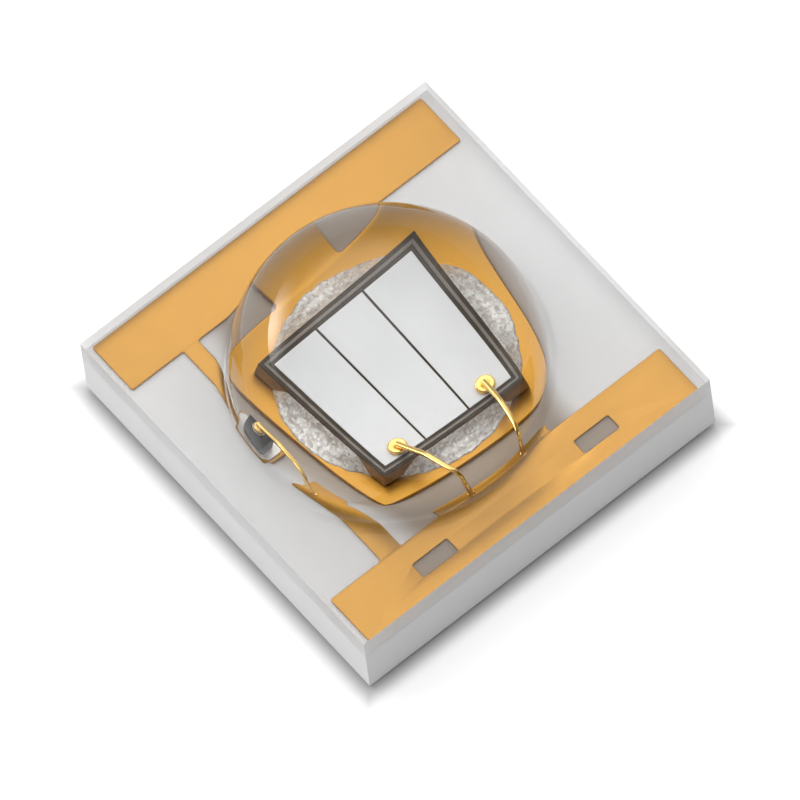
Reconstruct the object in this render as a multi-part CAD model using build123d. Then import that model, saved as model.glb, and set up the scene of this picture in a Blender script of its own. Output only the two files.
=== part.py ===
from build123d import *
import math
import os

# Surface-mount ultraviolet emitter on a square ceramic board. Plated tracks lie on top and
# solder pads below, joined by filled vias. A three-segment chip and a small protection diode
# sit on the tracks, each wired to the other track, and clear silicone covers them as a flat
# layer with one dome. Millimetres; Z is up from the solder pads, the long bars run along X.

# Board, and the metal on both of its faces
BOARD = 3.50
BOARD_T = 0.50
SOLDER_T = 0.04
TRACK_T = 0.03
TRACK_BEVEL = 0.006
Z_BOARD = SOLDER_T
Z_TOP = Z_BOARD + BOARD_T
Z_TRACK = Z_TOP + TRACK_T

# Long bar along each of two opposite edges; the chip's bar is at +Y, the wires' at -Y
BAR_L = 3.33
BAR_OUT_Y = 1.72
BAR_IN_Y = 1.22

# Pad under the chip, and the neck that joins it to its bar
DIE_PAD_X = 1.33
DIE_PAD_Y = (-0.685, 0.662)
NECK_W = 0.37

# Fingers that run from both bars to the diode; they share their outer edge
FINGER_X = -1.15
DIODE_FINGER_W = 0.15
WIRE_FINGER_W = 0.20
DIODE_PAD_X = (-1.21, -0.77)
DIODE_PAD_Y = (0.05, 0.43)
LANDING_X1 = -0.82
LANDING_Y = (-0.60, -0.205)

# Shelf that brings the wires' bar nearer the chip, and the two windows in that bar
SHELF_W = 1.12
SHELF_Y1 = -1.12
WINDOW_L = 0.35
WINDOW_W = 0.145
WINDOW_X = 0.816
WINDOW_Y = -1.48

# Solder pads: one under each bar, and a wide one that takes the heat away
SOLDER_L = 3.30
SOLDER_W = 0.50
SOLDER_Y = 1.425
HEAT_PAD_W = 1.50
VIA_D = 0.15
VIA_X = 1.30
VIA_Y = 1.45

# Chip: carrier, guard ring along its edge, three light-emitting segments side by side.
# It and its paste sit a hair off the board's centre.
CHIP_X = -0.018
CHIP_Y = -0.006
ATTACH_T = 0.015
ATTACH_D = 1.26
CHIP = 1.02
CHIP_T = 0.09
STREET = 0.062
SEGMENT_GAP = 0.014
SEGMENT_T = 0.006
GUARD_W = 0.016
GUARD_T = 0.003
Z_CHIP = Z_TRACK + ATTACH_T
Z_CHIP_TOP = Z_CHIP + CHIP_T

# Protection diode, back to back with the chip
DIODE_X = -0.965
DIODE_Y = 0.225
DIODE_L = 0.27
DIODE_W = 0.21
DIODE_T = 0.10
DIODE_ATTACH_L = 0.42
DIODE_ATTACH_W = 0.34
DIODE_ATTACH_CORNER = 0.05
DIODE_TERMINAL_D = 0.10
DIODE_TERMINAL_T = 0.004
DIODE_TERMINAL_X = -0.881
Z_DIODE_TOP = Z_CHIP + DIODE_T

# Bond wires: squashed ball, long low loop that drops steeply, flat stitch
WIRE_D = 0.038
BALL_D = 0.12
DIODE_BALL_D = 0.09
BALL_T = 0.028
BALL_WAIST = 0.010
NECK_D = 0.070
NECK_H = 0.018
LOOP_TOP = 0.355
DIODE_LOOP_TOP = 0.29
SHOULDER_AT = 0.35
SHOULDER_RISE = 0.73
SHOULDER_BEND = 0.25
CREST_AT = 0.83
CREST_BEND = 0.15
STITCH_L = 0.085
STITCH_W = 0.062
STITCH_T = 0.010
BALL_X = 0.308
BALL_Y = -0.390
WIRE_FOOT_X = (-0.242, 0.275)
WIRE_FOOT_Y = -1.195
DIODE_FOOT = (-1.045, -0.355)

# Silicone: flat layer over the whole board, dome with a rounded foot, off-centre by a hair
FILM_T = 0.22
DOME_R = 1.25
DOME_FOOT = 0.11
DOME_X = -0.07
DOME_Y = -0.02
TUNNEL_SIDES = 8
TUNNEL_GAP = 0.001
Z_FILM = Z_TOP + FILM_T
Z_EQUATOR = Z_FILM + DOME_FOOT

UP = (Align.CENTER, Align.CENTER, Align.MIN)


def rect(x0, x1, y0, y1):
    """Flat rectangle between two X and two Y positions."""
    return Pos((x0 + x1) / 2, (y0 + y1) / 2) * Rectangle(x1 - x0, y1 - y0)


def plated(outline):
    """Track of this outline on the board, its upper edge eased by etching."""
    body = extrude(Pos(0, 0, Z_TOP) * outline, TRACK_T)
    upper = body.faces().sort_by(Axis.Z)[-1]
    return chamfer(upper.edges(), TRACK_BEVEL)


def chip_track():
    """Bar, neck and chip pad in one piece, with the finger and pad that carry the diode."""
    bar = rect(-BAR_L / 2, BAR_L / 2, BAR_IN_Y, BAR_OUT_Y)
    neck = rect(-NECK_W / 2, NECK_W / 2, 0, BAR_IN_Y)
    pad = rect(-DIE_PAD_X / 2, DIE_PAD_X / 2, *DIE_PAD_Y)
    finger = rect(FINGER_X, FINGER_X + DIODE_FINGER_W, DIODE_PAD_Y[1], BAR_IN_Y)
    diode_pad = rect(*DIODE_PAD_X, *DIODE_PAD_Y)
    return plated(bar + neck + pad + finger + diode_pad)


def landing():
    """Widened end of the wires' finger; its inner edge tapers back to the finger."""
    root_x = FINGER_X + WIRE_FINGER_W
    taper = LANDING_X1 - root_x
    outline = Polyline(
        (FINGER_X, LANDING_Y[0]),
        (root_x, LANDING_Y[0]),
        (LANDING_X1, LANDING_Y[0] + taper),
        (LANDING_X1, LANDING_Y[1]),
        (FINGER_X, LANDING_Y[1]),
        close=True,
    )
    return make_face(outline)


def wire_track():
    """Bar with its shelf, two windows and the finger where the diode's wire lands."""
    bar = rect(-BAR_L / 2, BAR_L / 2, -BAR_OUT_Y, -BAR_IN_Y)
    shelf = rect(-SHELF_W / 2, SHELF_W / 2, -BAR_IN_Y, SHELF_Y1)
    finger = rect(FINGER_X, FINGER_X + WIRE_FINGER_W, -BAR_IN_Y, LANDING_Y[0])
    outline = bar + shelf + finger + landing()
    for side in (-1, 1):
        outline -= Pos(side * WINDOW_X, WINDOW_Y) * Rectangle(WINDOW_L, WINDOW_W)
    return plated(outline)


def solder_pad(width, y):
    """Pad on the board's underside."""
    return Pos(0, y, 0) * Box(SOLDER_L, width, SOLDER_T, align=UP)


def vias(y):
    """Pair of filled vias between a bar and the solder pad below it."""
    plug = Pos(0, y, Z_BOARD) * Cylinder(VIA_D / 2, BOARD_T, align=UP)
    return Part() + [Pos(x, 0, 0) * plug for x in (-VIA_X, VIA_X)]


def board():
    """Ceramic plate with its via holes."""
    plate = Pos(0, 0, Z_BOARD) * Box(BOARD, BOARD, BOARD_T, align=UP)
    return plate - vias(VIA_Y) - vias(-VIA_Y)


def die_attach():
    """Metal paste under the chip: it squeezes out to a round spot, short of the chip's corners."""
    outline = Circle(ATTACH_D / 2) + Rectangle(CHIP, CHIP)
    body = extrude(Pos(CHIP_X, CHIP_Y, Z_TRACK) * outline, ATTACH_T)
    upper = body.faces().sort_by(Axis.Z)[-1]
    return chamfer(upper.edges(), ATTACH_T / 2)


def chip_carrier():
    return Pos(CHIP_X, CHIP_Y, Z_CHIP) * Box(CHIP, CHIP, CHIP_T, align=UP)


def guard_ring():
    """Narrow raised ring along the middle of the street round the segments."""
    outer = CHIP - STREET + GUARD_W
    ring = Rectangle(outer, outer) - Rectangle(outer - 2 * GUARD_W, outer - 2 * GUARD_W)
    return extrude(Pos(CHIP_X, CHIP_Y, Z_CHIP_TOP) * ring, GUARD_T)


def segments():
    """Three equal light-emitting strips, parted by two narrow gaps."""
    field = CHIP - 2 * STREET
    width = (field - 2 * SEGMENT_GAP) / 3
    pitch = width + SEGMENT_GAP
    strip = Pos(CHIP_X, CHIP_Y, Z_CHIP_TOP) * Box(width, field, SEGMENT_T, align=UP)
    return Part() + [Pos(i * pitch, 0, 0) * strip for i in (-1, 0, 1)]


def diode_attach():
    outline = RectangleRounded(DIODE_ATTACH_L, DIODE_ATTACH_W, DIODE_ATTACH_CORNER)
    x = sum(DIODE_PAD_X) / 2
    y = sum(DIODE_PAD_Y) / 2
    return extrude(Pos(x, y, Z_TRACK) * outline, ATTACH_T)


def diode_die():
    return Pos(DIODE_X, DIODE_Y, Z_CHIP) * Box(DIODE_L, DIODE_W, DIODE_T, align=UP)


def diode_terminal():
    disc = Cylinder(DIODE_TERMINAL_D / 2, DIODE_TERMINAL_T, align=UP)
    return Pos(DIODE_TERMINAL_X, DIODE_Y, Z_DIODE_TOP) * disc


def ball(diameter):
    """First bond: ball squashed to a slice, with the neck where the wire leaves it."""
    body = Pos(0, 0, BALL_WAIST) * Sphere(diameter / 2)
    body &= Box(diameter, diameter, BALL_T, align=UP)
    neck = Pos(0, 0, BALL_T) * Cone(NECK_D / 2, WIRE_D / 2, NECK_H, align=UP)
    return body + neck


def stitch():
    """Second bond: the wire's end pressed flat."""
    return extrude(Ellipse(STITCH_L / 2, STITCH_W / 2), STITCH_T)


def loop(run, z_start, top):
    """Centre line from the ball's neck over a rounded shoulder and crest, and steeply down."""
    z_neck = z_start + BALL_T + NECK_H / 2
    z_crest = Z_TOP + top
    line = Polyline(
        (0, 0, z_neck),
        (SHOULDER_AT * run, 0, z_neck + SHOULDER_RISE * (z_crest - z_neck)),
        (CREST_AT * run, 0, z_crest),
        (run, 0, Z_TRACK + STITCH_T / 2),
    )
    line = fillet(line.vertices().sort_by(Axis.X)[1], SHOULDER_BEND)
    return fillet(line.vertices().sort_by(Axis.X)[-2], CREST_BEND)


def bond_wire(start, z_start, foot, top, ball_d, section):
    """Wire of this section from a ball at start, through its loop, to a stitch at foot."""
    run = math.dist(start, foot)
    heading = math.degrees(math.atan2(foot[1] - start[1], foot[0] - start[0]))
    path = loop(run, z_start, top)
    body = sweep(Plane(origin=path @ 0, z_dir=path % 0) * section, path=path)
    body += Pos(0, 0, z_start) * ball(ball_d)
    body += Pos(run, 0, Z_TRACK) * stitch()
    body -= Pos(run, 0, Z_TRACK - BALL_D) * Box(BALL_D * 2, BALL_D * 2, BALL_D, align=UP)
    return Pos(start[0], start[1], 0) * Rot(0, 0, heading) * body


def dome():
    """Solid of revolution: hemisphere, rounded foot, and the core under it."""
    foot_r = DOME_R + DOME_FOOT
    outline = [
        Line((0, Z_TOP), (foot_r, Z_TOP)),
        Line((foot_r, Z_TOP), (foot_r, Z_FILM)),
        CenterArc((foot_r, Z_EQUATOR), DOME_FOOT, 180, 90),
        CenterArc((0, Z_EQUATOR), DOME_R, 0, 90),
        Line((0, Z_EQUATOR + DOME_R), (0, Z_TOP)),
    ]
    half = Plane.XZ * make_face(outline)
    return Pos(DOME_X, DOME_Y, 0) * revolve(half, Axis.Z)


def silicone(embedded):
    """Clear body, moulded round everything that stands on the board."""
    film = Pos(0, 0, Z_TOP) * Box(BOARD, BOARD, FILM_T, align=UP)
    return film + dome() - embedded


def main():
    z_segment = Z_CHIP_TOP + SEGMENT_T
    z_terminal = Z_DIODE_TOP + DIODE_TERMINAL_T
    wire_ends = {
        "diode_wire": ((DIODE_TERMINAL_X, DIODE_Y), z_terminal, DIODE_FOOT, DIODE_LOOP_TOP, DIODE_BALL_D),
    }
    for name, side, foot_x in zip(("chip_wire_left", "chip_wire_right"), (-1, 1), WIRE_FOOT_X):
        start = (CHIP_X + side * BALL_X, CHIP_Y + BALL_Y)
        wire_ends[name] = (start, z_segment, (foot_x, WIRE_FOOT_Y), LOOP_TOP, BALL_D)
    wire = Circle(WIRE_D / 2)
    tunnel = RegularPolygon(WIRE_D / 2 + TUNNEL_GAP, TUNNEL_SIDES, major_radius=False)
    wires = {name: bond_wire(*ends, wire) for name, ends in wire_ends.items()}
    tunnels = [bond_wire(*ends, tunnel) for ends in wire_ends.values()]
    embedded = {
        "chip_track": chip_track(),
        "wire_track": wire_track(),
        "die_attach": die_attach(),
        "chip_carrier": chip_carrier(),
        "chip_guard_ring": guard_ring(),
        "chip_segments": segments(),
        "diode_attach": diode_attach(),
        "diode_die": diode_die(),
        "diode_terminal": diode_terminal(),
    }
    pieces = {
        "ceramic_board": board(),
        "chip_vias": vias(VIA_Y),
        "wire_vias": vias(-VIA_Y),
        "chip_solder_pad": solder_pad(SOLDER_W, SOLDER_Y),
        "wire_solder_pad": solder_pad(SOLDER_W, -SOLDER_Y),
        "heat_solder_pad": solder_pad(HEAT_PAD_W, 0),
        **embedded,
        **wires,
        "silicone_lens": silicone([*embedded.values(), *tunnels]),
    }
    os.makedirs("parts", exist_ok=True)
    for name, piece in pieces.items():
        export_step(piece, f"parts/{name}.step")


main()
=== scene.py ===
import math

import bmesh
import bpy
from mathutils import Matrix, Vector, noise

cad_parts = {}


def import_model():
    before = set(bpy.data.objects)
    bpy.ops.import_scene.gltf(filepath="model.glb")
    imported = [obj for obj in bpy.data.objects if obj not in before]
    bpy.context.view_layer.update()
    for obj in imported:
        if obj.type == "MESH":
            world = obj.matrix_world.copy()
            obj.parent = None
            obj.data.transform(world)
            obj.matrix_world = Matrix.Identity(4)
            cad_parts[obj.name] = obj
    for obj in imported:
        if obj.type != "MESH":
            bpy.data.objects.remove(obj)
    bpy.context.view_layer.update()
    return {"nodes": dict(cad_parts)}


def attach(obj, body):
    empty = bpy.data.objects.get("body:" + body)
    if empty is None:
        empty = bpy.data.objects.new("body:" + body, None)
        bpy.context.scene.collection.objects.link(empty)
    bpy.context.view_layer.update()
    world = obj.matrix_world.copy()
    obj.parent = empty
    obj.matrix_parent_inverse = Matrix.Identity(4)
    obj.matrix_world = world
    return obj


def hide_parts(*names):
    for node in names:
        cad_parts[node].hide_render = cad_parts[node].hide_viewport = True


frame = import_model()
MM = 0.001
TINY = 1e-9

# ---------------------------------------------------------------- sizes in millimetres, as in the solids

BOARD = 3.50
Z_TOP = 0.54
Z_TRACK = 0.57
TRACK_CORNER = 0.02
TRACK_BEVEL = 0.006
BAR_X = 1.665
BAR_OUT_Y = 1.72
BAR_IN_Y = 1.22
PAD_X = 0.665
PAD_Y = (-0.685, 0.662)
NECK_X = 0.185
FINGER_X = -1.15
DIODE_FINGER_X1 = -1.00
WIRE_FINGER_X1 = -0.95
# x from and to, y from and to
DIODE_PAD = (-1.21, -0.77, 0.05, 0.43)
LANDING_X1 = -0.82
LANDING_Y = (-0.60, -0.205)
SHELF_X = 0.56
SHELF_Y = -1.12
# Centre, width and height
WINDOW = (0.816, -1.48, 0.35, 0.145)

CHIP_AT = (-0.018, -0.006)
CHIP = (1.02, 1.02)
CHIP_EASE = 0.004
Z_CHIP = 0.585
Z_CHIP_TOP = 0.675
Z_SEGMENT = 0.681
DIODE_AT = (-0.965, 0.225)
DIODE = (0.27, 0.21)
DIODE_EASE = 0.008
Z_DIODE_TOP = 0.685
Z_TERMINAL = 0.689

# Silver paste round the chip
ATTACH_T = 0.015
ATTACH_R = 0.645
FILLET_T = 0.084
FILLET_W = 0.048
FILLET_START = -0.012
BITE_ANGLE = 0.66
BITE_WIDTH = 0.09
BITE_DEPTH = 0.035
# Depth, pitch and seed of the waves along the paste's edge; the lobes' depth is a share of its radius
LOBES = (0.02, 2.4, 3.1)
RIPPLES = (0.010, 11, 7.7)
# Height and pitch of the grain, then its roughness, spacing and octaves
GRAIN = (0.0020, 60)
GRAIN_FRACTAL = (0.7, 2.0, 3)
# How fast the paste thins towards its edge, and the share of its height that is left there
SKIRT = (12, 0.1)
PASTE_LEAST = 0.001
PASTE_RINGS = 60
PASTE_SPOKES = 320

# Bond wires
WIRE_R = 0.019
BALL_D = 0.12
DIODE_BALL_D = 0.09
BALL_T = 0.028
NECK_H = 0.018
# Half-section of a squashed ball: share of its radius, height
BALL_SHAPE = ((0.86, 0), (0.96, 0.003), (1.0, 0.010), (0.98, 0.017), (0.90, 0.024), (0.78, 0.028),
              (0.60, 0.0285), (0.52, 0.026))
# Half-section of the neck: radius, height over the ball
NECK_SHAPE = ((0.028, -0.003), (0.023, 0.004), (0.0205, 0.011), (WIRE_R, NECK_H), (0, NECK_H))
LOOP_TOP = 0.355
DIODE_LOOP_TOP = 0.29
# Shares of the run and of the climb, and radii of the bends
SHOULDER_AT = 0.35
SHOULDER_RISE = 0.73
SHOULDER_BEND = 0.25
CREST_AT = 0.83
CREST_BEND = 0.15
BEND_STEPS = 14
# Length, width and height of the stitch at a wire's foot, and its half-section in shares of them
STITCH = (0.085, 0.062, 0.010)
STITCH_SHAPE = ((0, 0), (1, 0), (1, 0.35), (0.93, 0.75), (0.75, 0.97), (0.4, 1.0), (0, 1.0))
LEFT_ENDS = ((-0.326, -0.396), (-0.242, -1.195))
RIGHT_ENDS = ((0.290, -0.396), (0.275, -1.195))
DIODE_ENDS = ((-0.881, 0.225), (-1.045, -0.355))

# Clear moulding
Z_FILM = 0.76
DOME = (-0.07, -0.02)
DOME_R = 1.25
DOME_FOOT = 0.11
FLAT_RING = 0.01
# The flat layer's sides reach this far past the board's upper edge, so that no slit shows
SIDE_LAP = 0.002
LENS_SPOKES = 192
DOME_STEPS = 72
FOOT_STEPS = 20

TABLE_HALF = 1000

# ---------------------------------------------------------------- camera, fitted to the board's corners

# Degrees
ELEVATION = 62.5762
AZIMUTH = -31.8963
ROLL = -8.4342
# Pixels to a millimetre at the board's top
SCALE = 128.0542
# Pixels
CENTRE = (396.4909, 374.5417)
FRAME_PX = 800
# Millimetres
DISTANCE = 1 / 0.0035
SENSOR = 36

# ---------------------------------------------------------------- light, as radiance over white

# Azimuths in degrees from +X towards +Y. The soft light overhead: cosines of the angles to its axis
# where it starts and where it is full
TOP_AZIMUTH = 65
TOP_ELEVATION = 66
TOP_EDGE = 0.50
TOP_FULL = 0.92
TOP_LEVEL = 2.27
BASE_LEVEL = 0.355
# The camera and what holds it keep some of the light off
SHADE_AZIMUTH = -122
SHADE_ELEVATION = 62
SHADE_POWER = 10
SHADE_DEPTH = 0.8
# A low bright panel behind makes the crisp arc on the dome; it fades between two heights of direction
KEY_AZIMUTH = 122
KEY_ELEVATION = 5
KEY_POWER = 34
KEY_LEVEL = 10.5
KEY_EDGE = (0.42, 0.05)

FLOOR_TONE = 0.60
FLOOR_GLOW = 0.52
# Width of the band round the board where the floor's glow fades out, a painted contact shadow
PAINTED_SHADOW_WIDTH = 0.18

# ---------------------------------------------------------------- colours: darkest and lightest

GOLD_TONE = (0.485, 0.247, 0.042)
WIRE_TONE = (1.0, 0.66, 0.20)
GOLD_DARKEST = 0.94
CERAMIC_TONES = ((0.945, 0.945, 0.942), (0.975, 0.975, 0.973))
# Painted shade: the dim brown given to the ceramic in the narrow gaps between the gold
CERAMIC_PAINTED_SHADE = (0.45, 0.375, 0.305)
PASTE_TONES = ((0.50, 0.47, 0.42), (0.80, 0.77, 0.73))
EMITTER_TONES = ((0.77, 0.775, 0.775), (0.81, 0.813, 0.813))
SILICONE_TONE = (0.995, 0.997, 1.0)
SAWN_TONES = ((0.91, 0.925, 0.94), (0.95, 0.96, 0.97))
CHIP_BORDER_TONES = ((0.036, 0.027, 0.019), (0.060, 0.046, 0.034))
# Chip walls: painted shade, a brown chosen to read as the shade round the chip's corners
CHIP_WALL_PAINTED_SHADE_TONES = ((0.26, 0.17, 0.09), (0.36, 0.25, 0.15))
CHIP_RING_TONES = ((0.13, 0.115, 0.10), (0.19, 0.17, 0.15))
DIODE_TOP_TONES = ((0.004, 0.004, 0.004), (0.016, 0.015, 0.014))
DIODE_WALL_TONES = ((0.03, 0.03, 0.03), (0.10, 0.10, 0.10))
DIODE_PASTE_TONES = ((0.66, 0.62, 0.57), (0.84, 0.80, 0.75))
DIODE_METAL_TONES = ((0.74, 0.72, 0.68), (0.88, 0.86, 0.82))

# Painted shade on the ceramic where the gold leaves only small gaps, in millimetres: each pair runs from
# unshaded to fully shaded
PAINTED_SHADE_RIGHT = (0.92, 0.62)
PAINTED_SHADE_LEFT = (-1.02, -0.70)
PAINTED_SHADE_FAR = (1.34, 1.20)
PAINTED_SHADE_NEAR = (-1.62, -1.54)
PAINTED_SHADE_WINDOW_SIDES = (1.30, 1.10)
PAINTED_SHADE_WINDOW_FAR = (-1.20, -1.40)

# The part of a noise texture's range that holds most of its values
NOISE_RANGE = (0.3, 0.7)


# ---------------------------------------------------------------- meshes

def new_object(name, bm, smooth_angle=30):
    """Object from a bmesh in millimetres, in metres, smooth below the angle; square faces stay flat."""
    bmesh.ops.recalc_face_normals(bm, faces=bm.faces)
    bmesh.ops.scale(bm, vec=(MM,) * 3, verts=bm.verts)
    mesh = bpy.data.meshes.new(name)
    bm.to_mesh(mesh)
    bm.free()
    square = [max(abs(c) for c in face.normal) > 0.999999 for face in mesh.polygons]
    mesh.polygons.foreach_set("use_smooth", [not flat for flat in square])
    mesh.set_sharp_from_angle(angle=math.radians(smooth_angle))
    obj = bpy.data.objects.new(name, mesh)
    bpy.context.scene.collection.objects.link(obj)
    return obj


def stand_for(obj, slot, *nodes):
    """Piece of the body, in place of its CAD nodes."""
    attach(obj, "root")
    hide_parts(*nodes)
    return obj


def fillet(before, corner, after, radius):
    """Centre, start and end of the arc that rounds a corner; start and end are seen from the centre."""
    a = (before - corner).normalized()
    b = (after - corner).normalized()
    half = a.angle(b) / 2
    centre = corner + (a + b).normalized() * (radius / math.sin(half))
    cut = radius / math.tan(half)
    return centre, corner + a * cut - centre, corner + b * cut - centre


def arc(start, end, t):
    """Point at share t of the arc from start to end, seen from its centre."""
    angle = start.angle(end)
    return (start * math.sin((1 - t) * angle) + end * math.sin(t * angle)) / math.sin(angle)


def rounded(points, radius, steps=6):
    """Closed outline with each corner replaced by an arc."""
    out = []
    points = [Vector((*p, 0)) for p in points]
    for i, corner in enumerate(points):
        centre, start, end = fillet(points[i - 1], corner, points[(i + 1) % len(points)], radius)
        out += [(centre + arc(start, end, k / steps)).xy for k in range(steps + 1)]
    return out


def plate(name, loops, z0, z1, bevel):
    """Flat plate with holes: filled two-dimensional curve with an eased upper edge."""
    curve = bpy.data.curves.new(name, "CURVE")
    curve.dimensions = "2D"
    curve.fill_mode = "BOTH"
    for loop in loops:
        spline = curve.splines.new("POLY")
        spline.points.add(len(loop) - 1)
        for point, (x, y) in zip(spline.points, loop):
            point.co = (x, y, 0, 1)
        spline.use_cyclic_u = True
    curve.extrude = (z1 - z0) / 2 - bevel
    curve.bevel_depth = bevel
    curve.bevel_resolution = 2
    curve.offset = -bevel
    obj = bpy.data.objects.new(name, curve)
    bpy.context.scene.collection.objects.link(obj)
    mesh = bpy.data.meshes.new_from_object(obj)
    bpy.data.objects.remove(obj)
    bm = bmesh.new()
    bm.from_mesh(mesh)
    bmesh.ops.translate(bm, vec=(0, 0, (z0 + z1) / 2), verts=bm.verts)
    bmesh.ops.remove_doubles(bm, verts=bm.verts, dist=1e-5)
    return new_object(name, bm)


def turns(count):
    """Cosine and sine of each of a circle's equal steps."""
    return [(math.cos(2 * math.pi * k / count), math.sin(2 * math.pi * k / count)) for k in range(count)]


def bridge(bm, a, b):
    """Faces between two closed rings; a ring may be a single point."""
    count = max(len(a), len(b))
    faces = []
    for k in range(count):
        j = (k + 1) % count
        corners = [a[k % len(a)], a[j % len(a)], b[j % len(b)], b[k % len(b)]]
        faces.append(bm.faces.new(list(dict.fromkeys(corners))))
    return faces


def lathe(bm, profile, centre=(0, 0), segments=40):
    """Surface of revolution of (radius, z) points about an upright axis; gives its rings."""
    x, y = centre
    rings = []
    for r, z in profile:
        around = turns(segments) if r > TINY else [(0, 0)]
        rings.append([bm.verts.new((x + r * c, y + r * s, z)) for c, s in around])
    for a, b in zip(rings, rings[1:]):
        bridge(bm, a, b)
    return rings


def tube(bm, points, radius, segments=20):
    """Round tube along points in the XZ plane."""
    side = Vector((0, 1, 0))
    rings = []
    for i, p in enumerate(points):
        ahead = points[min(i + 1, len(points) - 1)] - points[max(i - 1, 0)]
        up = side.cross(ahead.normalized())
        rings.append([bm.verts.new(p + radius * (side * c + up * s)) for c, s in turns(segments)])
    for a, b in zip(rings, rings[1:]):
        bridge(bm, a, b)
    bm.faces.new(rings[0])
    bm.faces.new(rings[-1])


# ---------------------------------------------------------------- pieces

def chip_track_outline():
    """Long bar, neck, chip pad, finger and diode pad."""
    x0, x1, y0, y1 = DIODE_PAD
    return [
        (-BAR_X, BAR_OUT_Y), (-BAR_X, BAR_IN_Y), (FINGER_X, BAR_IN_Y), (FINGER_X, y1),
        (x0, y1), (x0, y0), (x1, y0), (x1, y1), (DIODE_FINGER_X1, y1), (DIODE_FINGER_X1, BAR_IN_Y),
        (-NECK_X, BAR_IN_Y), (-NECK_X, PAD_Y[1]), (-PAD_X, PAD_Y[1]), (-PAD_X, PAD_Y[0]),
        (PAD_X, PAD_Y[0]), (PAD_X, PAD_Y[1]), (NECK_X, PAD_Y[1]), (NECK_X, BAR_IN_Y),
        (BAR_X, BAR_IN_Y), (BAR_X, BAR_OUT_Y),
    ]


def wire_track_outline():
    """Long bar, shelf, finger and the landing of the diode's wire."""
    taper = LANDING_X1 - WIRE_FINGER_X1
    return [
        (-BAR_X, -BAR_OUT_Y), (BAR_X, -BAR_OUT_Y), (BAR_X, -BAR_IN_Y), (SHELF_X, -BAR_IN_Y),
        (SHELF_X, SHELF_Y), (-SHELF_X, SHELF_Y), (-SHELF_X, -BAR_IN_Y), (WIRE_FINGER_X1, -BAR_IN_Y),
        (WIRE_FINGER_X1, LANDING_Y[0]), (LANDING_X1, LANDING_Y[0] + taper), (LANDING_X1, LANDING_Y[1]),
        (FINGER_X, LANDING_Y[1]), (FINGER_X, -BAR_IN_Y), (-BAR_X, -BAR_IN_Y),
    ]


def window(side):
    """Opening in the wire track's bar, left (-1) or right (1)."""
    x, y, w, h = WINDOW
    return [(side * x + i * w / 2, y + j * h / 2) for i, j in ((-1, -1), (1, -1), (1, 1), (-1, 1))]


def tracks():
    """The two gold-plated tracks."""
    pieces = []
    for name, node, outlines in (
        ("gold_chip_track", "chip_track", [chip_track_outline()]),
        ("gold_wire_track", "wire_track", [wire_track_outline(), window(-1), window(1)]),
    ):
        loops = [rounded(outline, TRACK_CORNER) for outline in outlines]
        piece = plate(name, loops, Z_TOP, Z_TRACK, TRACK_BEVEL)
        pieces.append(stand_for(piece, "gold_plating", node))
    return pieces


def paste_edge(angle):
    """Radius of the paste's uneven edge."""
    c, s = math.cos(angle), math.sin(angle)
    depth, pitch, seed = LOBES
    edge = ATTACH_R * (1 - depth * (1 + noise.noise((pitch * c, pitch * s, seed))))
    depth, pitch, seed = RIPPLES
    edge -= depth * noise.noise((pitch * c, pitch * s, seed))
    return edge - BITE_DEPTH * math.exp(-((angle - BITE_ANGLE) / BITE_WIDTH) ** 2)


def paste_height(x, y, t):
    """Height of the paste's grainy top, at share t of the way to its edge."""
    depth, pitch = GRAIN
    grain = depth * noise.fractal((x * pitch, y * pitch, 0), *GRAIN_FRACTAL)
    past_wall = max(abs(x) - CHIP[0] / 2, abs(y) - CHIP[1] / 2)
    climb = FILLET_T * math.exp(-max(past_wall, 0) / FILLET_W) if past_wall > FILLET_START else 0
    steepness, least = SKIRT
    return max((ATTACH_T + climb + grain) * min(1, (1 - t) * steepness + least), PASTE_LEAST)


def paste():
    """Squeezed-out silver paste: uneven edge, grainy top, and a fillet against the chip's walls."""
    bm = bmesh.new()
    edges = [paste_edge(2 * math.pi * k / PASTE_SPOKES) for k in range(PASTE_SPOKES)]
    rings = [[bm.verts.new((0, 0, Z_TRACK + ATTACH_T))]]
    for i in range(1, PASTE_RINGS + 1):
        t = i / PASTE_RINGS
        spots = [(edge * t * c, edge * t * s) for edge, (c, s) in zip(edges, turns(PASTE_SPOKES))]
        rings.append([bm.verts.new((x, y, Z_TRACK + paste_height(x, y, t))) for x, y in spots])
    rings.append([bm.verts.new((v.co.x, v.co.y, Z_TRACK)) for v in rings[-1]])
    for a, b in zip(rings, rings[1:]):
        bridge(bm, a, b)
    bm.faces.new(rings[-1])
    bmesh.ops.translate(bm, vec=(*CHIP_AT, 0), verts=bm.verts)
    return stand_for(new_object("silver_paste", bm, 80), "silver_paste", "die_attach")


def block(name, slot, node, centre, size, z0, z1, ease):
    """Die with its upper edges and corners eased; material 0 is the top's, material 1 the walls'."""
    bm = bmesh.new()
    bmesh.ops.create_cube(bm, size=1)
    bmesh.ops.scale(bm, vec=(size[0], size[1], z1 - z0), verts=bm.verts)
    bmesh.ops.translate(bm, vec=(*centre, (z0 + z1) / 2), verts=bm.verts)
    edges = [e for e in bm.edges if max(v.co.z for v in e.verts) > z1 - 1e-6]
    bmesh.ops.bevel(bm, geom=edges, offset=ease, segments=3, profile=0.5, affect="EDGES")
    for face in bm.faces:
        face.material_index = 0 if face.calc_center_median().z > z1 - ease * 0.8 else 1
    return stand_for(new_object(name, bm, 40), slot, node)


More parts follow.
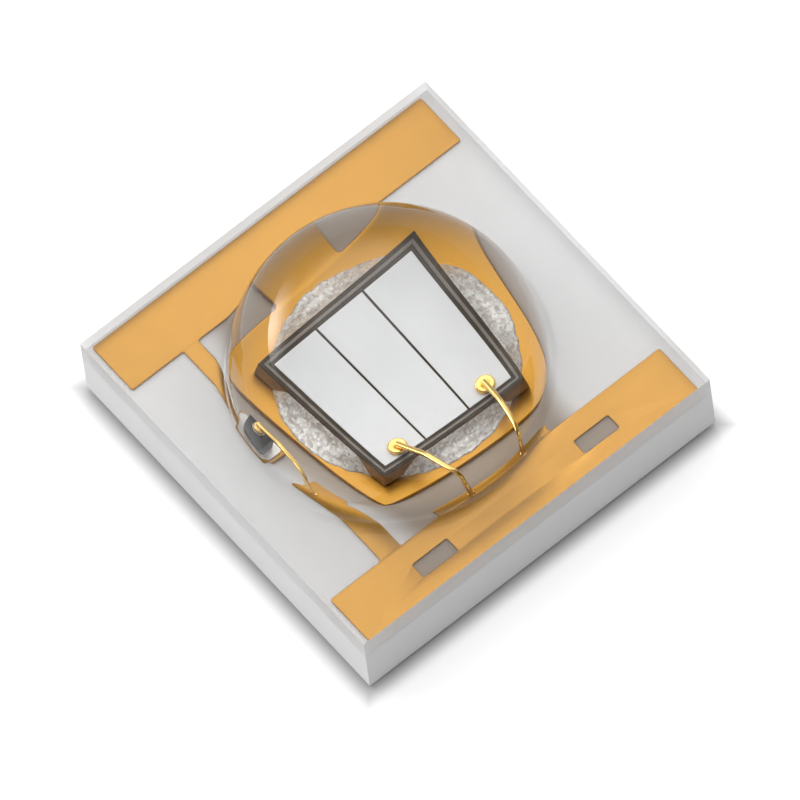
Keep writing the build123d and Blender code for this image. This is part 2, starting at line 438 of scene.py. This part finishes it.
def loop_points(run, z_start, top):
    """Centre line of a bond wire: neck, rounded shoulder, rounded crest, steep drop."""
    z_neck = z_start + BALL_T + NECK_H / 2
    z_crest = Z_TOP + top
    neck = Vector((0, 0, z_neck))
    shoulder = Vector((SHOULDER_AT * run, 0, z_neck + SHOULDER_RISE * (z_crest - z_neck)))
    crest = Vector((CREST_AT * run, 0, z_crest))
    foot = Vector((run, 0, Z_TRACK + STITCH[2] / 2))
    line = [neck]
    for before, corner, after, radius in (
        (neck, shoulder, crest, SHOULDER_BEND),
        (shoulder, crest, foot, CREST_BEND),
    ):
        centre, start, end = fillet(before, corner, after, radius)
        line += [centre + arc(start, end, k / BEND_STEPS) for k in range(BEND_STEPS + 1)]
    return line + [foot]


def bond_wire(name, node, ends, z_start, top, ball_d):
    """Gold wire with the squashed ball and neck at its start and the flat stitch at its foot."""
    start, foot = ends
    run = math.dist(start, foot)
    bm = bmesh.new()
    tube(bm, loop_points(run, z_start, top), WIRE_R)
    ball = [(0, 0)] + [(k * ball_d / 2, z) for k, z in BALL_SHAPE]
    ball += [(r, BALL_T + z) for r, z in NECK_SHAPE]
    lathe(bm, [(r, z_start + z) for r, z in ball])
    length, width, height = STITCH
    for ring in lathe(bm, STITCH_SHAPE):
        for v in ring:
            v.co = Vector((run + v.co.x * length / 2, v.co.y * width / 2, Z_TRACK + v.co.z * height))
    heading = math.atan2(foot[1] - start[1], foot[0] - start[0])
    place = Matrix.Translation((start[0], start[1], 0)) @ Matrix.Rotation(heading, 4, "Z")
    bmesh.ops.transform(bm, matrix=place, verts=bm.verts)
    return stand_for(new_object(name, bm, 50), "gold_wire", node)


def lens_profile():
    """Half-section of the dome, its concave foot and a flat ring, as (radius, z) from the top down."""
    quarter = math.pi / 2
    profile = [(0, Z_FILM + DOME_FOOT + DOME_R)]
    for i in range(1, DOME_STEPS + 1):
        a = quarter * (1 - i / DOME_STEPS)
        profile.append((DOME_R * math.cos(a), Z_FILM + DOME_FOOT + DOME_R * math.sin(a)))
    for i in range(1, FOOT_STEPS + 1):
        a = quarter * i / FOOT_STEPS
        profile.append((DOME_R + DOME_FOOT * (1 - math.cos(a)), Z_FILM + DOME_FOOT * (1 - math.sin(a))))
    return profile + [(DOME_R + DOME_FOOT + FLAT_RING, Z_FILM)]


def board_edge(rim):
    """The board's edge straight out from each point of a ring round the dome; four meet the corners."""
    half = BOARD / 2
    edge = []
    for v in rim:
        out = Vector((v.co.x - DOME[0], v.co.y - DOME[1]))
        reach = min((math.copysign(half, d) - c) / d for d, c in zip(out, DOME) if abs(d) > TINY)
        edge.append(Vector(DOME) + out * reach)
    for corner in ((1, 1), (-1, 1), (-1, -1), (1, -1)):
        target = Vector(corner) * half
        nearest = min(range(len(edge)), key=lambda i: (edge[i] - target).length)
        edge[nearest] = target
    return edge


def lens():
    """Clear moulding: dome with a rounded foot on the flat layer; its sawn sides have material 1."""
    bm = bmesh.new()
    rim = lathe(bm, lens_profile(), DOME, LENS_SPOKES)[-1]
    edge = board_edge(rim)
    upper = [bm.verts.new((e.x, e.y, Z_FILM)) for e in edge]
    lower = [bm.verts.new((e.x, e.y, Z_TOP - SIDE_LAP)) for e in edge]
    bridge(bm, rim, upper)
    for side in bridge(bm, upper, lower):
        side.material_index = 1
    bm.faces.new(lower)
    return stand_for(new_object("clear_dome", bm), "silicone", "silicone_lens")


# ---------------------------------------------------------------- node helpers

def shader(name, **values):
    """Material with a Principled shader; an underscore in a key is a space in its socket's name."""
    mat = bpy.data.materials.new(name)
    mat.use_nodes = True
    bsdf = mat.node_tree.nodes["Principled BSDF"]
    for key, value in values.items():
        bsdf.inputs[key.replace("_", " ")].default_value = value
    return mat, mat.node_tree, bsdf


def math_node(tree, operation, *values):
    """Result of one Math node on numbers or sockets."""
    node = tree.nodes.new("ShaderNodeMath")
    node.operation = operation
    for socket, value in zip(node.inputs, values):
        if isinstance(value, (int, float)):
            socket.default_value = value
        else:
            tree.links.new(value, socket)
    return node.outputs["Value"]


def product(tree, *values):
    """All values multiplied."""
    result = values[0]
    for value in values[1:]:
        result = math_node(tree, "MULTIPLY", result, value)
    return result


def map_range(tree, value, source, target=(0.0, 1.0), smooth=True):
    """Value's source range mapped to the target range, by a smooth step or in a straight line."""
    node = tree.nodes.new("ShaderNodeMapRange")
    node.interpolation_type = "SMOOTHSTEP" if smooth else "LINEAR"
    for key, number in zip(("From Min", "From Max", "To Min", "To Max"), (*source, *target)):
        node.inputs[key].default_value = number
    tree.links.new(value, node.inputs["Value"])
    return node.outputs["Result"]


def split(tree, vector):
    """The X, Y and Z of a vector."""
    node = tree.nodes.new("ShaderNodeSeparateXYZ")
    tree.links.new(vector, node.inputs["Vector"])
    return node.outputs


def blend(tree, a, b, factor):
    """Mix of two colours; b may be a plain colour, and the factor a number."""
    node = tree.nodes.new("ShaderNodeMix")
    node.data_type = "RGBA"
    for key, value in (("Factor", factor), ("A", a), ("B", b)):
        if isinstance(value, (float, tuple)):
            node.inputs[key].default_value = value
        else:
            tree.links.new(value, node.inputs[key])
    return node.outputs["Result"]


def place_mm(tree, scale=(1, 1, 1)):
    """Object coordinates in millimetres, times the scale."""
    coords = tree.nodes.new("ShaderNodeTexCoord")
    mapping = tree.nodes.new("ShaderNodeMapping")
    mapping.inputs["Scale"].default_value = [s / MM for s in scale]
    tree.links.new(coords.outputs["Object"], mapping.inputs["Vector"])
    return mapping.outputs["Vector"]


def noise_node(tree, where, scale, detail):
    """Soft noise from 0 to 1."""
    node = tree.nodes.new("ShaderNodeTexNoise")
    node.inputs["Scale"].default_value = scale
    node.inputs["Detail"].default_value = detail
    node.inputs["Roughness"].default_value = 0.6
    tree.links.new(where, node.inputs["Vector"])
    return node.outputs["Fac"]


def ramp(tree, value, tones, span=NOISE_RANGE):
    """Colour between two tones as the value goes over the span."""
    node = tree.nodes.new("ShaderNodeValToRGB")
    for element, position, tone in zip(node.color_ramp.elements, span, tones):
        element.position = position
        element.color = (*tone, 1)
    tree.links.new(value, node.inputs["Fac"])
    return node.outputs["Color"]


def bump(tree, bsdf, height, depth_mm):
    """Relief of the given depth."""
    node = tree.nodes.new("ShaderNodeBump")
    node.inputs["Strength"].default_value = 1.0
    node.inputs["Distance"].default_value = depth_mm * MM
    tree.links.new(height, node.inputs["Height"])
    tree.links.new(node.outputs["Normal"], bsdf.inputs["Normal"])


def seen_directly(tree, *depths):
    """1 for rays from the camera or through the silicone without a bounce of the given kinds."""
    path = tree.nodes.new("ShaderNodeLightPath")
    seen = math_node(tree, "MAXIMUM", path.outputs["Is Camera Ray"], path.outputs["Is Transmission Ray"])
    unturned = [math_node(tree, "LESS_THAN", path.outputs[depth], 0.5) for depth in depths]
    return product(tree, seen, *unturned)


# ---------------------------------------------------------------- materials

def ceramic():
    """White ceramic, with painted shade, dim and brown, where the gold leaves only small gaps."""
    mat, tree, bsdf = shader("ceramic", Roughness=0.6, Specular_IOR_Level=0.12)
    where = place_mm(tree)
    x, y, _ = split(tree, where)
    # Painted shade, masked by position: the gaps between the tracks and the windows in the bar
    painted_shade_middle = product(tree, map_range(tree, x, PAINTED_SHADE_RIGHT), map_range(tree, x, PAINTED_SHADE_LEFT),
                     map_range(tree, y, PAINTED_SHADE_FAR))
    across = math_node(tree, "ABSOLUTE", x)
    painted_shade_windows = product(tree, map_range(tree, across, PAINTED_SHADE_WINDOW_SIDES),
                      map_range(tree, y, PAINTED_SHADE_WINDOW_FAR))
    painted_shade = product(tree, math_node(tree, "MAXIMUM", painted_shade_middle, painted_shade_windows), map_range(tree, y, PAINTED_SHADE_NEAR))
    white = ramp(tree, noise_node(tree, where, 3, 6), CERAMIC_TONES)
    tree.links.new(blend(tree, white, (*CERAMIC_PAINTED_SHADE, 1), painted_shade), bsdf.inputs["Base Color"])
    bump(tree, bsdf, noise_node(tree, where, 45, 3), 0.0015)
    return mat


def gold(name, tone, rough, grain):
    """Gold with a faint mottle and a fine grain in its roughness."""
    mat, tree, bsdf = shader(name, Metallic=1.0)
    where = place_mm(tree)
    tones = ([GOLD_DARKEST * c for c in tone], tone)
    tree.links.new(ramp(tree, noise_node(tree, where, 5, 5), tones), bsdf.inputs["Base Color"])
    roughness = map_range(tree, noise_node(tree, where, grain, 3), NOISE_RANGE, rough, smooth=False)
    tree.links.new(roughness, bsdf.inputs["Roughness"])
    return mat


def silver():
    """Silver-filled paste: pale flakes in a cured binder."""
    mat, tree, bsdf = shader("silver_paste", Metallic=0.4)
    where = place_mm(tree)
    cells = tree.nodes.new("ShaderNodeTexVoronoi")
    cells.inputs["Scale"].default_value = 62
    tree.links.new(where, cells.inputs["Vector"])
    grey = ramp(tree, cells.outputs["Color"], PASTE_TONES, (0.2, 0.8))
    tree.links.new(blend(tree, grey, cells.outputs["Color"], 0.05), bsdf.inputs["Base Color"])
    roughness = map_range(tree, noise_node(tree, where, 60, 2), NOISE_RANGE, (0.28, 0.5), smooth=False)
    tree.links.new(roughness, bsdf.inputs["Roughness"])
    bump(tree, bsdf, cells.outputs["Distance"], 0.0008)
    return mat


def die_surface(name, tones, rough, scale=(10, 10, 60)):
    """Faintly streaked surface of a die, its paste or its metal."""
    mat, tree, bsdf = shader(name, Metallic=0.6, Roughness=rough, Specular_IOR_Level=0.1)
    where = place_mm(tree, scale)
    tree.links.new(ramp(tree, noise_node(tree, where, 1, 4), tones), bsdf.inputs["Base Color"])
    bump(tree, bsdf, noise_node(tree, where, 2, 3), 0.001)
    return mat


def emitter():
    """Pale, faintly uneven light-emitting field."""
    mat, tree, bsdf = shader("chip_emitter", Metallic=0.0, Roughness=0.35)
    where = place_mm(tree)
    tree.links.new(ramp(tree, noise_node(tree, where, 4, 6), EMITTER_TONES), bsdf.inputs["Base Color"])
    bump(tree, bsdf, noise_node(tree, where, 90, 2), 0.0006)
    return mat


def silicone():
    """Clear silicone."""
    return shader("silicone", Roughness=0.0, IOR=1.41, Transmission_Weight=1.0,
                  Base_Color=(*SILICONE_TONE, 1))[0]


def sawn_silicone():
    """Sides of the flat layer, frosted by the saw: light scatters both ways."""
    mat, tree, bsdf = shader("sawn_silicone", Roughness=0.7, Specular_IOR_Level=0.2)
    tone = ramp(tree, noise_node(tree, place_mm(tree, (1, 1, 4)), 12, 4), SAWN_TONES)
    tree.links.new(tone, bsdf.inputs["Base Color"])
    through = tree.nodes.new("ShaderNodeBsdfTranslucent")
    tree.links.new(tone, through.inputs["Color"])
    mix = tree.nodes.new("ShaderNodeMixShader")
    mix.inputs["Fac"].default_value = 0.4
    tree.links.new(bsdf.outputs["BSDF"], mix.inputs[1])
    tree.links.new(through.outputs["BSDF"], mix.inputs[2])
    tree.links.new(mix.outputs["Shader"], tree.nodes["Material Output"].inputs["Surface"])
    return mat


def floor_material():
    """Matt table, white where seen directly or through the silicone; near the board its glow fades out,
    a painted contact shadow on top of the real one.
    """
    mat = bpy.data.materials.new("white_table")
    mat.use_nodes = True
    mat.cycles.emission_sampling = "NONE"
    tree = mat.node_tree
    tree.nodes.remove(tree.nodes["Principled BSDF"])
    x, y, _ = split(tree, place_mm(tree))
    away = math_node(tree, "MAXIMUM", math_node(tree, "ABSOLUTE", x), math_node(tree, "ABSOLUTE", y))
    # Painted contact shadow: the glow is faded out by position in a band round the board's footprint
    outside_painted_shadow = map_range(tree, away, (BOARD / 2, BOARD / 2 + PAINTED_SHADOW_WIDTH))
    matt = tree.nodes.new("ShaderNodeBsdfDiffuse")
    matt.inputs["Color"].default_value = (FLOOR_TONE, FLOOR_TONE, FLOOR_TONE, 1)
    glow = tree.nodes.new("ShaderNodeEmission")
    strength = product(tree, seen_directly(tree, "Diffuse Depth"), outside_painted_shadow, FLOOR_GLOW)
    tree.links.new(strength, glow.inputs["Strength"])
    both = tree.nodes.new("ShaderNodeAddShader")
    tree.links.new(matt.outputs["BSDF"], both.inputs[0])
    tree.links.new(glow.outputs["Emission"], both.inputs[1])
    tree.links.new(both.outputs["Shader"], tree.nodes["Material Output"].inputs["Surface"])
    return mat


def give(obj, *mats):
    """Materials for a new piece."""
    for mat in mats:
        obj.data.materials.append(mat)


def dress(node, mat):
    """A better material for a CAD node that stays."""
    for slot in frame["nodes"][node].material_slots:
        slot.material = mat


# ---------------------------------------------------------------- scene

def camera():
    """Camera at the photograph's viewing angle."""
    el, az, roll = (math.radians(v) for v in (ELEVATION, AZIMUTH, ROLL))
    right = Vector((math.cos(az), math.sin(az), 0))
    away = Vector((-math.sin(az), math.cos(az), 0))
    look = away * math.cos(el) - Vector((0, 0, math.sin(el)))
    up = right.cross(look)
    r = right * math.cos(roll) + up * math.sin(roll)
    u = up * math.cos(roll) - right * math.sin(roll)
    offset = r * ((FRAME_PX / 2 - CENTRE[0]) / SCALE) - u * ((FRAME_PX / 2 - CENTRE[1]) / SCALE)
    place = Vector((0, 0, Z_TOP)) - look * DISTANCE + offset
    data = bpy.data.cameras.new("camera")
    data.sensor_width = SENSOR
    data.lens = SCALE * DISTANCE * SENSOR / FRAME_PX
    data.clip_start = 0.001
    data.clip_end = 10
    cam = bpy.data.objects.new("camera", data)
    matrix = Matrix((r, u, -look)).transposed().to_4x4()
    matrix.translation = place * MM
    cam.matrix_world = matrix
    bpy.context.scene.collection.objects.link(cam)
    bpy.context.scene.camera = cam


def world():
    """Soft light from above and behind, a bright low panel at the back left, white to the camera."""
    studio = bpy.data.worlds.new("studio")
    bpy.context.scene.world = studio
    studio.use_nodes = True
    tree = studio.node_tree
    background = tree.nodes["Background"]
    background.inputs["Color"].default_value = (1, 1, 1, 1)
    direction = tree.nodes.new("ShaderNodeTexCoord").outputs["Generated"]

    def facing(azimuth, elevation):
        """Cosine of the angle to a direction."""
        az, el = math.radians(azimuth), math.radians(elevation)
        node = tree.nodes.new("ShaderNodeVectorMath")
        node.operation = "DOT_PRODUCT"
        tree.links.new(direction, node.inputs[0])
        node.inputs[1].default_value = (
            math.cos(az) * math.cos(el), math.sin(az) * math.cos(el), math.sin(el))
        return node.outputs["Value"]

    def lobe(azimuth, elevation, power):
        """Spot that is 1 at a direction and fades round it."""
        towards = math_node(tree, "MAXIMUM", facing(azimuth, elevation), 0.0)
        return math_node(tree, "POWER", towards, power)

    overhead = map_range(tree, facing(TOP_AZIMUTH, TOP_ELEVATION), (TOP_EDGE, TOP_FULL),
                         (BASE_LEVEL, TOP_LEVEL))
    shade = product(tree, lobe(SHADE_AZIMUTH, SHADE_ELEVATION, SHADE_POWER), -SHADE_DEPTH)
    soft = product(tree, overhead, math_node(tree, "ADD", shade, 1.0))
    height = split(tree, direction)["Z"]
    panel = product(tree, lobe(KEY_AZIMUTH, KEY_ELEVATION, KEY_POWER), KEY_LEVEL,
                    map_range(tree, height, KEY_EDGE))
    mix = tree.nodes.new("ShaderNodeMix")
    mix.data_type = "FLOAT"
    tree.links.new(seen_directly(tree, "Diffuse Depth", "Glossy Depth"), mix.inputs["Factor"])
    tree.links.new(math_node(tree, "ADD", soft, panel), mix.inputs["A"])
    mix.inputs["B"].default_value = 1.0
    tree.links.new(mix.outputs["Result"], background.inputs["Strength"])


def stage():
    """Plain pale floor."""
    bm = bmesh.new()
    corners = ((-1, -1), (1, -1), (1, 1), (-1, 1))
    bm.faces.new([bm.verts.new((x * TABLE_HALF, y * TABLE_HALF, 0)) for x, y in corners])
    table = new_object("table", bm)
    give(table, floor_material())


plating = gold("gold_plating", GOLD_TONE, (0.375, 0.39), 30)
wire_gold = gold("gold_wire", WIRE_TONE, (0.14, 0.2), 60)
for piece in tracks():
    give(piece, plating)
give(paste(), silver())
for name, node, ends, z_start, top, ball_d in (
    ("left_wire", "chip_wire_left", LEFT_ENDS, Z_SEGMENT, LOOP_TOP, BALL_D),
    ("right_wire", "chip_wire_right", RIGHT_ENDS, Z_SEGMENT, LOOP_TOP, BALL_D),
    ("small_wire", "diode_wire", DIODE_ENDS, Z_TERMINAL, DIODE_LOOP_TOP, DIODE_BALL_D),
):
    give(bond_wire(name, node, ends, z_start, top, ball_d), wire_gold)
chip = block("chip_body", "chip_metal", "chip_carrier", CHIP_AT, CHIP, Z_CHIP, Z_CHIP_TOP, CHIP_EASE)
give(chip,
     die_surface("chip_border", CHIP_BORDER_TONES, 0.4),
     # The walls' brown is painted shade, like the shade round the chip's corners
     die_surface("chip_wall_painted_shade", CHIP_WALL_PAINTED_SHADE_TONES, 0.3))
diode = block("diode_body", "diode_silicon", "diode_die", DIODE_AT, DIODE, Z_CHIP, Z_DIODE_TOP,
              DIODE_EASE)
give(diode,
     die_surface("diode_top", DIODE_TOP_TONES, 0.5),
     die_surface("diode_wall", DIODE_WALL_TONES, 0.2))
give(lens(), silicone(), sawn_silicone())
for node in ("chip_vias", "wire_vias", "chip_solder_pad", "wire_solder_pad", "heat_solder_pad"):
    dress(node, plating)
dress("ceramic_board", ceramic())
dress("chip_guard_ring", die_surface("chip_ring", CHIP_RING_TONES, 0.35))
dress("chip_segments", emitter())
dress("diode_attach", die_surface("diode_paste", DIODE_PASTE_TONES, 0.4, (20, 20, 20)))
dress("diode_terminal", die_surface("diode_metal", DIODE_METAL_TONES, 0.3))

camera()
world()
stage()
bpy.context.scene.view_settings.view_transform = "Standard"
